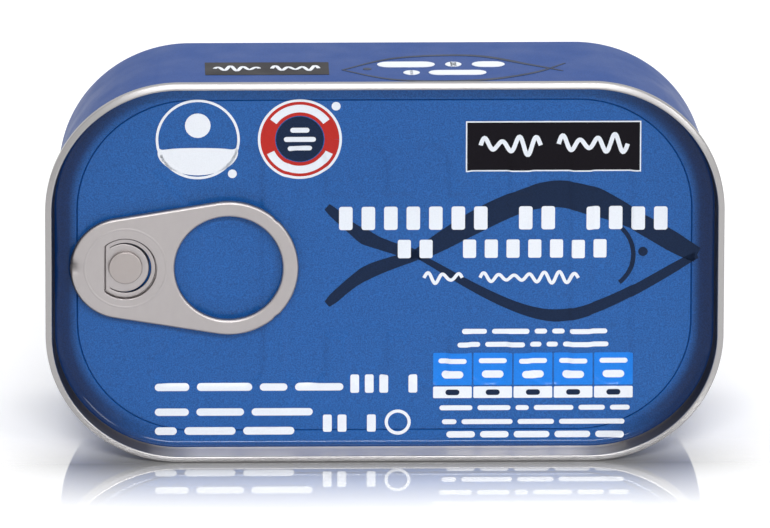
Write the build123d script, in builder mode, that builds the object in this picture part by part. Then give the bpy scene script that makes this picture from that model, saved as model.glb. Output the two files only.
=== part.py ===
from build123d import *
from math import asin, atan2, cos, hypot, sin, tan
import os

# A shut rectangular fish can with rounded corners and a ring-pull lid. It stands on one long
# side and leans back a little, because the seam round the lid is wider than the base.
# Millimetres. +X runs along the can, +Y from the lid to the base, +Z up. The origin is on the
# ground, under the middle of the can.

# ---- can ----
CAN_LENGTH = 106.2        # over the seam, along X
CAN_WIDTH = 62.1          # over the seam, up the lid
CAN_CORNER = 21.0         # corner radius of the seam
CAN_DEPTH = 32.0          # crest of the seam to the base

# ---- seam between lid and body ----
SEAM_HEIGHT = 1.6
SEAM_THICKNESS = 1.0
SEAM_CREST = 0.42         # rounding of the crest
SEAM_SKIRT = 0.25         # rounding of the lower edge

# ---- body ----
FLANGE_INSET = 0.8        # body wall inside the outline of the seam
RIM_WALL = 0.28           # sheet that runs up into the seam
BASE_INSET = 2.4          # the wall tapers in to this at the base
BASE_CORNER = 20.5
BASE_ROUND = 2.5
BASE_PANEL_INSET = 8.5    # raised panel of the base, inside the outline of the seam
BASE_PANEL_DEPTH = 0.6
BASE_RIB_COUNT = 5
BASE_RIB_PITCH = 13.0
BASE_RIB_LENGTH = 32.0
BASE_RIB_WIDTH = 5.0
BASE_RIB_DEPTH = 0.5

# ---- lid ----
PANEL_DEPTH = 4.6         # crest of the seam to the panel
PANEL_INSET = 4.3         # the sloping band round the panel ends here
PANEL_SHEET = 0.7         # thickness of the lid under its panel
CHUCK_INSET = 1.4         # foot of the steep wall inside the seam
CHUCK_DEPTH = 4.2
CHUCK_ROUND = 1.6
BAND_ROUND = 1.5          # bend between the sloping band and the panel
SCORE_LENGTH = 96.2       # line along which the lid tears open
SCORE_WIDTH = 53.9
SCORE_CORNER = 18.0
SCORE_GROOVE = 0.3        # width of the groove, and twice its depth

# ---- sunk relief of the lid's panel ----
RELIEF_DEPTH = 0.35
RELIEF_SLOPE = 35         # degrees, taper of the relief's edges
RIB_WIDTH = 6.5
RIB_PITCH = 9.58
RIB_LENGTH = 39.4
RIB_FIRST_X = -12.25
RIB_JOINED = 5            # the ribs that a central field joins, and then one apart
FIELD_HEIGHT = 23.0
WELL_LEFT_X = -36.1       # finger well below the ring
WELL_RIGHT_X = -19.0
WELL_CORNER = 3.0
ISLAND_X = -28.0          # edge of the island that carries the rivet, at mid height
ISLAND_FLARE = 14.5       # half the height over which the island's edge runs back

# ---- tab and rivet ----
TAB_NOSE_X = -41.0
TAB_NOSE_RADIUS = 8.25
TAB_RING_X = -24.4
TAB_RING_RADIUS = 10.95
TAB_HOLE_RADIUS = 8.45
TAB_THICKNESS = 1.2
TAB_LIFT = 0.45           # underside of the tab above the panel
TAB_ROUND = 0.45          # rolled edges
TAB_WEB = 0.5             # sheet of the web between the rolled edges
TAB_RIM = 1.5             # width of the rolled edge round the web
TONGUE_X = -40.6
TONGUE_HOLE_RADIUS = 4.95
TONGUE_RADIUS = 4.0
TONGUE_FLAT_X = -43.8     # straight side on which the tongue is hinged
TONGUE_SHEET = 0.45
RIVET_X = -40.5
RIVET_SEAT_RADIUS = 3.6
RIVET_SHANK_RADIUS = 1.6
RIVET_HEAD_RADIUS = 2.6
RIVET_HEAD_HEIGHT = 0.4
RIVET_HEAD_ROUND = 0.25


# ---- how the can leans ----
# Seen from its short side, the can stands on two rounded edges: the lower edge of the seam and
# the edge of the base. "up" is measured up the lid and "out" along the lid's normal. The
# rounding of the base touches the tapered wall, so its centre lies a little less far in.
TAPER = atan2(BASE_INSET - FLANGE_INSET, CAN_DEPTH - SEAM_HEIGHT)
SKIRT_UP = SEAM_SKIRT - CAN_WIDTH / 2
SKIRT_OUT = SEAM_SKIRT - SEAM_HEIGHT
HEEL_UP = BASE_INSET + BASE_ROUND * (1 / cos(TAPER) - tan(TAPER)) - CAN_WIDTH / 2
HEEL_OUT = BASE_ROUND - CAN_DEPTH
CREST_UP = SEAM_CREST - CAN_WIDTH / 2
CREST_OUT = -SEAM_CREST

step_up = SKIRT_UP - HEEL_UP
step_out = SKIRT_OUT - HEEL_OUT
LEAN = asin((SEAM_SKIRT - BASE_ROUND) / hypot(step_up, step_out)) - atan2(step_up, step_out)


def height(up, out):
    """Height of a point of the can's side view over the middle of the lid."""
    return up * cos(LEAN) + out * sin(LEAN)


def setback(up, out):
    """How far a point of the can's side view lies behind the middle of the lid."""
    return up * sin(LEAN) - out * cos(LEAN)


ground = height(SKIRT_UP, SKIRT_OUT) - SEAM_SKIRT
front = setback(CREST_UP, CREST_OUT) - SEAM_CREST
back = setback(-HEEL_UP, HEEL_OUT) + BASE_ROUND
lid_plane = Plane(
    origin=(0, -(front + back) / 2, -ground),
    x_dir=(1, 0, 0),
    z_dir=(0, -cos(LEAN), sin(LEAN)),
)


def plane_at(depth):
    """The plane that lies a depth below the crest of the seam."""
    return lid_plane.offset(-depth)


def outline(inset, corner=None):
    """Rounded rectangle inside the outline of the seam, drawn in the present sketch."""
    radius = CAN_CORNER - inset if corner is None else corner
    return RectangleRounded(CAN_LENGTH - 2 * inset, CAN_WIDTH - 2 * inset, radius)


def section_plane(path):
    """Plane across a closed path of the lid: X points inwards and Y out of the lid."""
    along = path % 0
    inward = lid_plane.z_dir.cross(along)
    return Plane(origin=path @ 0, x_dir=inward, z_dir=along)


# ---- body: drawn can, shut and full, so one solid up to the underside of the lid ----
PLUG_DEPTH = PANEL_DEPTH + PANEL_SHEET
PLUG_INSET = FLANGE_INSET + RIM_WALL

with BuildPart() as body:
    with BuildSketch(plane_at(SEAM_HEIGHT)):
        outline(FLANGE_INSET)
    with BuildSketch(plane_at(CAN_DEPTH)):
        outline(BASE_INSET, BASE_CORNER)
    loft()
    base_face = body.faces().sort_by(Axis(lid_plane.origin, lid_plane.z_dir))[0]
    fillet(base_face.edges(), radius=BASE_ROUND)
    # seat of the lid
    with BuildSketch(plane_at(SEAM_HEIGHT)):
        outline(PLUG_INSET)
    extrude(amount=SEAM_HEIGHT - PLUG_DEPTH, mode=Mode.SUBTRACT)
    # sunk panel and ribs of the base
    with BuildSketch(plane_at(CAN_DEPTH)):
        outline(BASE_PANEL_INSET)
    extrude(amount=BASE_PANEL_DEPTH, taper=RELIEF_SLOPE, mode=Mode.SUBTRACT)
    with BuildSketch(plane_at(CAN_DEPTH - BASE_PANEL_DEPTH)):
        with GridLocations(BASE_RIB_PITCH, 0, BASE_RIB_COUNT, 1):
            SlotOverall(BASE_RIB_LENGTH, BASE_RIB_WIDTH, rotation=90)
    extrude(amount=BASE_RIB_DEPTH, taper=RELIEF_SLOPE, mode=Mode.SUBTRACT)


# ---- lid: seam, steep wall, sloping band and panel in one piece, with its rivet ----
with BuildSketch(lid_plane) as seam_outline:
    outline(0)
seam_path = seam_outline.sketch.face().outer_wire()

with BuildSketch(plane_at(PANEL_DEPTH)) as score_outline:
    RectangleRounded(SCORE_LENGTH, SCORE_WIDTH, SCORE_CORNER)
score_path = score_outline.sketch.face().outer_wire()

# corners of the rim's section, inwards from the outline and outwards from the crest, each
# with its rounding
RIM_SECTION = (
    ((0, -SEAM_HEIGHT), SEAM_SKIRT),
    ((0, 0), SEAM_CREST),
    ((SEAM_THICKNESS, 0), SEAM_CREST),
    ((CHUCK_INSET, -CHUCK_DEPTH), CHUCK_ROUND),
    ((PANEL_INSET, -PANEL_DEPTH), BAND_ROUND),
    ((PANEL_INSET + 1, -PANEL_DEPTH), 0),
    ((PANEL_INSET + 1, -PLUG_DEPTH), 0),
    ((PLUG_INSET, -PLUG_DEPTH), 0),
    ((PLUG_INSET, -SEAM_HEIGHT), 0),
)

with BuildPart() as lid:
    with BuildSketch(section_plane(seam_path)):
        with BuildLine():
            corners, rounds = zip(*RIM_SECTION)
            FilletPolyline(*corners, radius=rounds, close=True)
        make_face()
    sweep(path=seam_path)
    with BuildSketch(plane_at(PLUG_DEPTH)):
        outline(PANEL_INSET)
    extrude(amount=PANEL_SHEET)
    # comb of ribs, joined by a field along the middle, and one rib apart
    field_length = RIB_PITCH * (RIB_JOINED - 1) + RIB_WIDTH
    field_x = RIB_FIRST_X + RIB_PITCH * (RIB_JOINED - 1) / 2
    with BuildSketch(plane_at(PANEL_DEPTH)):
        for rib in range(RIB_JOINED + 1):
            with Locations((RIB_FIRST_X + rib * RIB_PITCH, 0)):
                SlotOverall(RIB_LENGTH, RIB_WIDTH, rotation=90)
        with Locations((field_x, 0)):
            Rectangle(field_length, FIELD_HEIGHT)
    extrude(amount=-RELIEF_DEPTH, taper=RELIEF_SLOPE, mode=Mode.SUBTRACT)
    # finger well, with the island of the rivet left standing in it
    with BuildSketch(plane_at(PANEL_DEPTH)) as well:
        with Locations(((WELL_LEFT_X + WELL_RIGHT_X) / 2, 0)):
            Rectangle(WELL_RIGHT_X - WELL_LEFT_X, RIB_LENGTH)
        fillet(well.vertices(), radius=WELL_CORNER)
        with BuildLine(mode=Mode.PRIVATE) as island:
            Spline(
                (WELL_LEFT_X, ISLAND_FLARE),
                (ISLAND_X, 0),
                (WELL_LEFT_X, -ISLAND_FLARE),
                tangents=((1, -1), (-1, -1)),
            )
            Line((WELL_LEFT_X, ISLAND_FLARE), (WELL_LEFT_X, -ISLAND_FLARE))
        make_face(island.edges(), mode=Mode.SUBTRACT)
    extrude(amount=-RELIEF_DEPTH, mode=Mode.SUBTRACT)
    # groove along which the lid tears
    with BuildSketch(section_plane(score_path)):
        Rectangle(SCORE_GROOVE, SCORE_GROOVE, rotation=45)
    sweep(path=score_path, mode=Mode.SUBTRACT)
    # rivet: seat, shank and head
    with BuildSketch(plane_at(PANEL_DEPTH)):
        with Locations((RIVET_X, 0)):
            Circle(RIVET_SEAT_RADIUS)
    extrude(amount=TAB_LIFT)
    with BuildSketch(plane_at(PANEL_DEPTH - TAB_LIFT)):
        with Locations((RIVET_X, 0)):
            Circle(RIVET_SHANK_RADIUS)
    extrude(amount=TONGUE_SHEET)
    with BuildSketch(plane_at(PANEL_DEPTH - TAB_LIFT - TONGUE_SHEET)):
        with Locations((RIVET_X, 0)):
            Circle(RIVET_HEAD_RADIUS)
    extrude(amount=RIVET_HEAD_HEIGHT)
    rivet_face = lid.faces(Select.LAST).sort_by(Axis(lid_plane.origin, lid_plane.z_dir))[-1]
    fillet(rivet_face.edges(), radius=RIVET_HEAD_ROUND)


# ---- tab: ring pull with rolled edges, held by the rivet through its tongue ----
TAB_BOTTOM = PANEL_DEPTH - TAB_LIFT
TAB_TOP = TAB_BOTTOM - TAB_THICKNESS


def tab_outline(inset):
    """Hull of the nose's circle and the ring's circle, drawn in the present sketch."""
    with Locations((TAB_NOSE_X, 0)):
        Circle(TAB_NOSE_RADIUS - inset)
    with Locations((TAB_RING_X, 0)):
        Circle(TAB_RING_RADIUS - inset)
    return make_hull()


def tongue_outline(radius, reach):
    """Disc round the rivet with its nose side cut straight, reaching a little past the cut."""
    with Locations((TONGUE_X, 0)):
        Circle(radius)
    with Locations((TONGUE_FLAT_X - reach, 0)):
        Rectangle(2 * radius, 4 * radius, align=(Align.MAX, Align.CENTER), mode=Mode.SUBTRACT)


with BuildPart() as tab:
    with BuildSketch(plane_at(TAB_BOTTOM)):
        tab_outline(0)
        with Locations((TAB_RING_X, 0)):
            Circle(TAB_HOLE_RADIUS, mode=Mode.SUBTRACT)
    extrude(amount=TAB_THICKNESS)
    rolled = tab.faces().filter_by(lid_plane)
    fillet(rolled.edges(), radius=TAB_ROUND)
    # hollow under the web
    with BuildSketch(plane_at(TAB_BOTTOM)):
        tab_outline(TAB_RIM)
        with Locations((TAB_RING_X, 0)):
            Circle(TAB_HOLE_RADIUS + TAB_RIM, mode=Mode.SUBTRACT)
    extrude(amount=TAB_THICKNESS - TAB_WEB, mode=Mode.SUBTRACT)
    # tongue, hinged on its straight side
    with BuildSketch(plane_at(TAB_BOTTOM)):
        tongue_outline(TONGUE_HOLE_RADIUS, 0)
    extrude(amount=TAB_THICKNESS, mode=Mode.SUBTRACT)
    with BuildSketch(plane_at(TAB_BOTTOM)):
        tongue_outline(TONGUE_RADIUS, TONGUE_SHEET)
    extrude(amount=TONGUE_SHEET)
    with BuildSketch(plane_at(TAB_BOTTOM)):
        with Locations((TONGUE_FLAT_X, 0)):
            Rectangle(
                TONGUE_SHEET,
                1.5 * TONGUE_RADIUS,
                align=(Align.MAX, Align.CENTER),
            )
    extrude(amount=TAB_THICKNESS)
    with BuildSketch(plane_at(TAB_BOTTOM)):
        with Locations((RIVET_X, 0)):
            Circle(RIVET_SHANK_RADIUS)
    extrude(amount=TONGUE_SHEET, mode=Mode.SUBTRACT)


# ---- files ----
os.makedirs("parts", exist_ok=True)
body.part.label = "body"
lid.part.label = "lid"
tab.part.label = "tab"
export_step(body.part, "parts/body.step")
export_step(lid.part, "parts/lid.step")
export_step(tab.part, "parts/tab.step")
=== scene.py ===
# %% [markdown]
# # A shut fish can with a ring pull
# The real can is a box drawn from enamelled sheet metal. A lid is folded onto it in a double
# seam, and a ring pull is riveted to the lid. The can stands on one long side and leans back.
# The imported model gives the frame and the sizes. Everything seen here is a new surface worked
# out with numpy, because enamel and bright metal show every flat facet of a coarse mesh.

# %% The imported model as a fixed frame
from math import cos, radians, sin

import bmesh
import bpy
import numpy as np
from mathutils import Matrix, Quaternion, Vector
from mathutils.geometry import delaunay_2d_cdt


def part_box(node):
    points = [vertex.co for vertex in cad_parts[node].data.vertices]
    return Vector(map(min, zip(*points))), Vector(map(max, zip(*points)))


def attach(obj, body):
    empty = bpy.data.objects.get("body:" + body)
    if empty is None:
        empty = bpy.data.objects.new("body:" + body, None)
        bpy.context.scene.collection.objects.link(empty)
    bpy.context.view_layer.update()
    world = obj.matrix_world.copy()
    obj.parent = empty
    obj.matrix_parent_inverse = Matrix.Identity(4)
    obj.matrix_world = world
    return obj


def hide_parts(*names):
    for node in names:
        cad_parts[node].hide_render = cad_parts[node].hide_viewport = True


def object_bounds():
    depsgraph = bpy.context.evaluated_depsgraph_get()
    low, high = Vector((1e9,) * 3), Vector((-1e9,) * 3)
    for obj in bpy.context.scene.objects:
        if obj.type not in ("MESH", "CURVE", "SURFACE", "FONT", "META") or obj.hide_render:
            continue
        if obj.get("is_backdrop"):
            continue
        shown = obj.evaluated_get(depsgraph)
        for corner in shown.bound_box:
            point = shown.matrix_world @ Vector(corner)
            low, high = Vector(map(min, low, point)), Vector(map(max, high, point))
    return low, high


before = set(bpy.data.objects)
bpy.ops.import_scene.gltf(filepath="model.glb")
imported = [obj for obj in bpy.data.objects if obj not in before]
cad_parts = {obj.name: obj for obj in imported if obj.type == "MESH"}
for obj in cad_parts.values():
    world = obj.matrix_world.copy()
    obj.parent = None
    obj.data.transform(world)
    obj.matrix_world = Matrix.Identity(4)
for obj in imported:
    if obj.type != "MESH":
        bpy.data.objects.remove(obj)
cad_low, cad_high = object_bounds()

print("size of the can in mm:", [round(1000 * side, 2) for side in cad_high - cad_low])

# %% [markdown]
# ## Lid coordinates
# Every piece is described on the lid, where a can maker would measure it: x along the can, up
# the lid, and out along the lid's normal, from the crest of the seam, in millimetres. One
# function then puts it into the frame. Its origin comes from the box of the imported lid.

# %% From the lid to the frame
MM = 0.001
LENGTH, WIDTH, CORNER = 106.2, 62.1, 21.0
LEAN = radians(4.5994)
CREST = 0.42
lid_low, lid_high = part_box("lid")
crest_up = WIDTH / 2 - CREST
origin_z = lid_high.z / MM - crest_up * cos(LEAN) + CREST * sin(LEAN) - CREST
origin_y = lid_low.y / MM + crest_up * sin(LEAN) - CREST * cos(LEAN) + CREST


def place(x, up, out):
    """Points of the frame: the origin plus x, up and out times the three directions of the lid."""
    x, up, out = np.broadcast_arrays(x, up, out)
    y = origin_y + up * sin(LEAN) - out * cos(LEAN)
    z = origin_z + up * cos(LEAN) + out * sin(LEAN)
    return np.stack([x, y, z], -1)


print("middle of the lid in mm:", np.round(place(0, 0, 0), 3))

# %% [markdown]
# ## Grids, and the one function that makes a mesh
# A surface is a grid of points. Its faces join neighbours, so they need only numbers. `build`
# welds what meets, turns the faces outwards, and smooths everything but sharp folds.

# %% Faces of a grid, and the mesh
FOLD = radians(38)


def quads(rows, columns, ring=False, first=0):
    """Each point with the next in its row and in the next row. A ring's last column joins its first."""
    row = np.arange(rows - 1)[:, None]
    column = np.arange(columns if ring else columns - 1)[None, :]
    beside = (column + 1) % columns
    corners = [row * columns + column, row * columns + beside]
    corners += [(row + 1) * columns + beside, (row + 1) * columns + column]
    return np.stack(np.broadcast_arrays(*corners), -1).reshape(-1, 4) + first


def build(name, points, faces, coating):
    """A piece from points in mm and faces: welded, faces outward, smooth, riding on the can."""
    mesh = bpy.data.meshes.new(name)
    mesh.from_pydata((np.concatenate(points) * MM).tolist(), [], faces)
    work = bmesh.new()
    work.from_mesh(mesh)
    bmesh.ops.remove_doubles(work, verts=work.verts, dist=0.0005 * MM)
    bmesh.ops.dissolve_degenerate(work, edges=work.edges, dist=0.0005 * MM)
    bmesh.ops.recalc_face_normals(work, faces=work.faces)
    open_edges = sum(edge.is_boundary for edge in work.edges)
    work.to_mesh(mesh)
    work.free()
    mesh.shade_smooth()
    mesh.set_sharp_from_angle(angle=FOLD)
    mesh.materials.append(coating)
    piece = bpy.data.objects.new(name, mesh)
    bpy.context.scene.collection.objects.link(piece)
    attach(piece, "root")
    print(f"{name}: {len(mesh.polygons)} faces, {open_edges} open edges")
    return piece


# %% [markdown]
# ## The outline of the can
# A rounded rectangle is a disc carried round the rectangle of its corner centres. All rows of
# a surface use the same steps round it, so they join point to point, whatever their size.

# %% Steps round the outline
def steps_round(arc, long_side, short_side):
    """The disc's place, from -1 to 1 each way, and its turn: four sides of half arc, run, half arc."""
    slides, turns = [], []
    for straight in (short_side, long_side, short_side, long_side):
        step = np.arange(2 * arc + straight)
        slides.append(2 * np.clip((step - arc) / straight, 0, 1) - 1)
        bend = np.clip(step / arc - 1, -1, 0) + np.clip((step - arc - straight) / arc, 0, 1)
        turns.append(bend * np.pi / 4)
    one = [np.ones_like(slide) for slide in slides]
    across = np.concatenate([one[0], -slides[1], -one[2], slides[3]])
    upward = np.concatenate([slides[0], one[1], -slides[2], -one[3]])
    turn = np.concatenate([bend + quarter * np.pi / 2 for quarter, bend in enumerate(turns)])
    return across, upward, turn, 2 * arc + long_side, 2 * arc + short_side


FINE = steps_round(38, 212, 66)
COARSE = steps_round(24, 120, 40)


def loop(steps, half_x, half_up, radius):
    """Rounded rectangle: the rectangle of the disc's centres plus the disc's radius along the turn."""
    across, upward, turn = steps[:3]
    half_x, half_up, radius = (np.asarray(v, float)[..., None] for v in (half_x, half_up, radius))
    x = (half_x - radius) * across + radius * np.cos(turn)
    up = (half_up - radius) * upward + radius * np.sin(turn)
    return x, up


def inset_loop(steps, inset):
    """The can's outline, moved inwards all round."""
    inset = np.asarray(inset, float)
    return loop(steps, LENGTH / 2 - inset, WIDTH / 2 - inset, CORNER - inset)


def rounded_distance(x, up, half_x, half_up, radius):
    """Distance outside a rounded rectangle: distance to the centres' rectangle less the radius."""
    dx, dup = np.abs(x) - half_x + radius, np.abs(up) - half_up + radius
    outside = np.hypot(np.maximum(dx, 0), np.maximum(dup, 0))
    return outside + np.minimum(np.maximum(dx, dup), 0) - radius


def patch(steps, x, up):
    """Fills a loop with a grid: a Coons patch, two ruled surfaces less the bilinear one."""
    columns, rows = steps[3], steps[4]
    edge = np.stack([x, up], -1)
    edge = np.concatenate([edge, edge[:1]])
    right, rest = edge[:rows + 1], edge[rows:]
    top, rest = rest[:columns + 1][::-1], rest[columns:]
    left, bottom = rest[:rows + 1][::-1], rest[rows:]
    s = np.linspace(0, 1, columns + 1)[None, :, None]
    t = np.linspace(0, 1, rows + 1)[:, None, None]
    ruled = (1 - t) * bottom[None] + t * top[None] + (1 - s) * left[:, None] + s * right[:, None]
    flat = (1 - t) * ((1 - s) * bottom[0] + s * bottom[-1]) + t * ((1 - s) * top[0] + s * top[-1])
    grid = ruled - flat
    return grid[..., 0], grid[..., 1]


def rounded(corners, radii, steps=9):
    """A polyline with arcs for corners: each starts radius / tan(half the angle) from its corner."""
    corners = [np.array(corner, float) for corner in corners]
    line = [corners[0][None]]
    for before, corner, after, radius in zip(corners, corners[1:], corners[2:], radii):
        back = (before - corner) / np.linalg.norm(before - corner)
        ahead = (after - corner) / np.linalg.norm(after - corner)
        half = np.arccos(np.clip(back @ ahead, -1, 1)) / 2
        middle = corner + (back + ahead) / np.linalg.norm(back + ahead) * radius / np.sin(half)
        start, end = (corner + way * radius / np.tan(half) - middle for way in (back, ahead))
        sweep = np.pi - 2 * half
        share = np.linspace(0, 1, steps)[:, None]
        arc = (np.sin((1 - share) * sweep) * start + np.sin(share * sweep) * end) / np.sin(sweep)
        line.append(middle + arc)
    line.append(corners[-1][None])
    return np.concatenate(line)


# %% [markdown]
# ## Enamel
# The sheet is printed with fine dots of blue under a clear varnish. So the base colour is a
# blue with a fine grain and a slow drift, the varnish is a coat with a gloss of its own, and a
# very low bump gives the orange peel. Noise on Object coordinates does all of it.

# %% Materials from nodes
def finish(name, gloss, **sockets):
    """A Principled material; constants go straight on the shader's sockets."""
    made = bpy.data.materials.new(name)
    made.use_nodes = True
    shader = made.node_tree.nodes["Principled BSDF"]
    shader.inputs["Roughness"].default_value = gloss
    for socket, value in sockets.items():
        shader.inputs[socket.replace("_", " ")].default_value = value
    return made


def linear(red, green, blue):
    """Screen colour from 0 to 255 as the linear colour a shader wants."""
    share = np.array([red, green, blue]) / 255
    low, high = share / 12.92, ((share + 0.055) / 1.055) ** 2.4
    return (*np.where(share <= 0.04045, low, high).tolist(), 1.0)


def noise(material, scale, detail=2.0, stretch=(1, 1, 1)):
    """Noise on Object coordinates, with its cell size as 1 / scale metres, stretched by a Mapping node."""
    nodes, links = material.node_tree.nodes, material.node_tree.links
    spot, turn, cloud = (nodes.new(kind) for kind in (
        "ShaderNodeTexCoord", "ShaderNodeMapping", "ShaderNodeTexNoise"))
    turn.inputs["Scale"].default_value = stretch
    cloud.inputs["Scale"].default_value = scale
    cloud.inputs["Detail"].default_value = detail
    links.new(spot.outputs["Object"], turn.inputs["Vector"])
    links.new(turn.outputs["Vector"], cloud.inputs["Vector"])
    return cloud.outputs["Fac"]


def spread(material, value, low, high, span=(0.3, 0.7)):
    """Turns a value within the span into one from low to high."""
    ranged = material.node_tree.nodes.new("ShaderNodeMapRange")
    ranged.inputs["From Min"].default_value, ranged.inputs["From Max"].default_value = span
    ranged.inputs["To Min"].default_value, ranged.inputs["To Max"].default_value = low, high
    material.node_tree.links.new(value, ranged.inputs["Value"])
    return ranged.outputs["Result"]


def shades(material, value, *stops):
    """A colour ramp from (place, colour) stops."""
    ramp = material.node_tree.nodes.new("ShaderNodeValToRGB")
    for spot, (position, colour) in enumerate(stops):
        stop = ramp.color_ramp.elements[spot] if spot < 2 else ramp.color_ramp.elements.new(1.0)
        stop.position, stop.color = position, colour
    material.node_tree.links.new(value, ramp.inputs["Fac"])
    return ramp.outputs["Color"]


def mixed(material, mode, share, first, second):
    """Mixes two colours."""
    mix = material.node_tree.nodes.new("ShaderNodeMix")
    mix.data_type, mix.blend_type = "RGBA", mode
    for socket, value in (("Factor", share), ("A", first), ("B", second)):
        slots = [s for s in mix.inputs if s.name == socket and s.type in ("RGBA", "VALUE")]
        target = slots[0] if socket == "Factor" else [s for s in slots if s.type == "RGBA"][0]
        if isinstance(value, bpy.types.NodeSocket):
            material.node_tree.links.new(value, target)
        else:
            target.default_value = value
    return [s for s in mix.outputs if s.type == "RGBA"][0]


def coordinate(material, axis):
    """One of the Object coordinates, in metres."""
    nodes, links = material.node_tree.nodes, material.node_tree.links
    spot, parts = nodes.new("ShaderNodeTexCoord"), nodes.new("ShaderNodeSeparateXYZ")
    links.new(spot.outputs["Object"], parts.inputs["Vector"])
    return parts.outputs[axis]


def sized(material, value):
    """The size of a value, without its sign."""
    plain = material.node_tree.nodes.new("ShaderNodeMath")
    plain.operation = "ABSOLUTE"
    material.node_tree.links.new(value, plain.inputs[0])
    return plain.outputs["Value"]


def wire(material, socket, value):
    """Feeds a socket of the shader."""
    shader = material.node_tree.nodes["Principled BSDF"]
    material.node_tree.links.new(value, shader.inputs[socket])


def base_colour(material):
    """What feeds the shader's base colour so far."""
    return material.node_tree.nodes["Principled BSDF"].inputs["Base Color"].links[0].from_socket


def bumps(material, height, distance, strength=1.0):
    """Feeds the shader's normal with a height in metres."""
    bump = material.node_tree.nodes.new("ShaderNodeBump")
    bump.inputs["Distance"].default_value = distance
    bump.inputs["Strength"].default_value = strength
    material.node_tree.links.new(height, bump.inputs["Height"])
    for link in list(material.node_tree.nodes["Principled BSDF"].inputs["Normal"].links):
        material.node_tree.links.new(link.from_socket, bump.inputs["Normal"])
    wire(material, "Normal", bump.outputs["Normal"])


def ridge(material, centre, radius, wide):
    """A faint ring pressed round a point: 1 at the radius, 0 beyond half its width."""
    nodes, links = material.node_tree.nodes, material.node_tree.links
    spot, reach = nodes.new("ShaderNodeTexCoord"), nodes.new("ShaderNodeVectorMath")
    reach.operation = "DISTANCE"
    reach.inputs[1].default_value = centre
    links.new(spot.outputs["Object"], reach.inputs[0])
    across = spread(material, reach.outputs["Value"], 0, 1, (radius - wide / 2, radius + wide / 2))
    return shades(material, across, (0.0, (0, 0, 0, 1)), (0.5, (1, 1, 1, 1)), (1.0, (0, 0, 0, 1)))


def enamel(name, colour, grain, gloss=0.36, coat=0.15, shine=0.12, clear=0.1):
    """Printed and varnished sheet: grain of the print dots, slow drift, varnish and orange peel."""
    made = finish(name, gloss, Coat_Weight=coat, Coat_Roughness=clear, Specular_IOR_Level=shine)
    dots = noise(made, 5200, 1.0)
    drift = noise(made, 28, 3.0)
    lighter = tuple(min(1.0, share * (1 + grain)) for share in colour[:3]) + (1.0,)
    darker = tuple(share * (1 - grain) for share in colour[:3]) + (1.0,)
    printed = shades(made, dots, (0.36, darker), (0.64, lighter))
    tint = shades(made, drift, (0.3, (0.93, 0.95, 0.97, 1)), (0.7, (1, 1, 1, 1)))
    wire(made, "Base Color", mixed(made, "MULTIPLY", 1.0, printed, tint))
    wire(made, "Roughness", spread(made, noise(made, 160), gloss - 0.05, gloss + 0.06))
    bumps(made, noise(made, 900), 0.00002, 0.5)
    return made


blue_enamel = enamel("blue_enamel", linear(34, 91, 161), 0.2, coat=0.35, shine=0.04, clear=0.045)
wall_enamel = enamel("wall_enamel", linear(56, 83, 143), 0.12, coat=0.0, shine=0.02)

# %% [markdown]
# ## Bare metal
# The seam shows bare tinplate, rolled lengthwise, so its gloss is streaked along x. The tab is
# softer aluminium with a warmer, more even grey. The sheet inside the rim is lacquered, so it is
# only partly metallic, and its colour has painted shade that darkens it towards both ends. The
# roughness of all of them drifts, because an even roughness looks like plastic.

# %% Tinplate and aluminium
def metal(name, colour, gloss, stretch, grain=0.05, height=0.0000006, metallic=1.0):
    """Bare sheet: colour and roughness drift along the stretched noise."""
    made = finish(name, gloss, Metallic=metallic)
    streaks = noise(made, 900, 3.0, stretch)
    darker = tuple(share * (1 - grain) for share in colour[:3]) + (1.0,)
    wire(made, "Base Color", shades(made, streaks, (0.3, darker), (0.7, colour)))
    wire(made, "Roughness", spread(made, noise(made, 300, 3.0, stretch), gloss - 0.01, gloss + 0.02))
    bumps(made, streaks, height, 0.3)
    return made


tinplate = metal("tinplate", linear(162, 160, 160), 0.31, (0.25, 1, 1), 0.02, 0.0000002)
aluminium = metal("aluminium", linear(168, 163, 163), 0.4, (1, 0.6, 0.6), 0.03)
lacquered = metal("lacquered_sheet", linear(214, 208, 206), 0.32, (0.25, 1, 1), metallic=0.4)
# Painted shade: the lacquered wall's colour darkens towards both ends, standing in for the dark its sides
# reflect there.
from_middle = sized(lacquered, coordinate(lacquered, "X"))
towards_ends = spread(lacquered, from_middle, 0, 1, (29 * MM, 50 * MM))
painted_end_shade = shades(
    lacquered, towards_ends,
    (0.0, (1, 1, 1, 1)), (0.4, (0.2, 0.19, 0.18, 1)), (1.0, (0.05, 0.05, 0.05, 1)))
with_painted_shade = mixed(lacquered, "MULTIPLY", 1.0, base_colour(lacquered), painted_end_shade)
wire(lacquered, "Base Color", with_painted_shade)
rivet_metal = metal("rivet_metal", linear(163, 156, 154), 0.4, (1, 1, 1), 0.03)

# %% [markdown]
# ## Body
# A drawn box with slightly tapered walls, a rounded heel and a base with a sunk, ribbed panel.
# The wall is a profile carried round the outline, and the panel is a grid whose edge is the
# profile's last row. Up inside the seam, the sheet turns over its rim and closes below the lid.

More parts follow.
